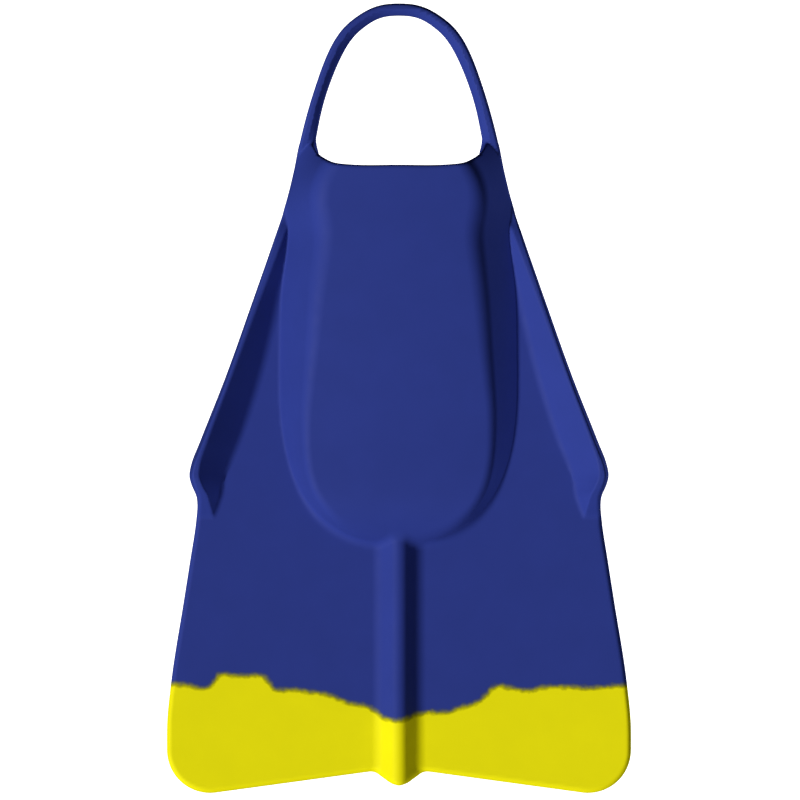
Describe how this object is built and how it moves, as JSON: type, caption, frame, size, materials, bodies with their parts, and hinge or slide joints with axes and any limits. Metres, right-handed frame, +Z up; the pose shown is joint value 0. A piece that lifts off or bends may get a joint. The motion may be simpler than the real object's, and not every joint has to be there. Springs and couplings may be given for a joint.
{
  "type": "swim fin",
  "caption": "Short rubber swim fin with an open heel strap, a foot pocket, side rails and a centre spine on a flared two-colour blade.",
  "frame": {"origin": "middle of the fin's plan, on the surface its sole rests on", "axes": "+Y to the heel strap, -Y to the blade tip, +X to the right seen from above with the heel at the top, +Z up from the sole"},
  "size_m": [0.2358, 0.3994, 0.0775],
  "materials": {
    "blue_rubber": "satin moulded natural rubber, royal blue",
    "yellow_rubber": "satin moulded natural rubber, bright yellow"
  },
  "bodies": {
    "foot_pocket": {"pocket_instep": "blue_rubber", "pocket_wall_left": "blue_rubber", "pocket_wall_right": "blue_rubber", "toe_cap": "blue_rubber", "pocket_sole": "blue_rubber", "rail_left": "blue_rubber", "rail_right": "blue_rubber", "web_left": "blue_rubber", "web_right": "blue_rubber", "spine_root": "blue_rubber"},
    "blade": {"blade_left": "blue_rubber", "blade_right": "blue_rubber", "spine": "blue_rubber", "tip_left": "yellow_rubber", "tip_right": "yellow_rubber", "spine_tip": "yellow_rubber"},
    "strap": {"heel_strap": "blue_rubber"}
  },
  "joints": [
    {"name": "blade_flex", "type": "hinge", "parent": "foot_pocket", "child": "blade", "pos_m": [0, -0.1, 0.01119], "axis": [1, 0, 0], "range_deg": [-25, 25], "stiffness_Nm_per_rad": 4},
    {"name": "strap_flex", "type": "hinge", "parent": "foot_pocket", "child": "strap", "pos_m": [0, 0.1326, 0.039], "axis": [1, 0, 0], "range_deg": [-45, 60], "stiffness_Nm_per_rad": 2}
  ]
}
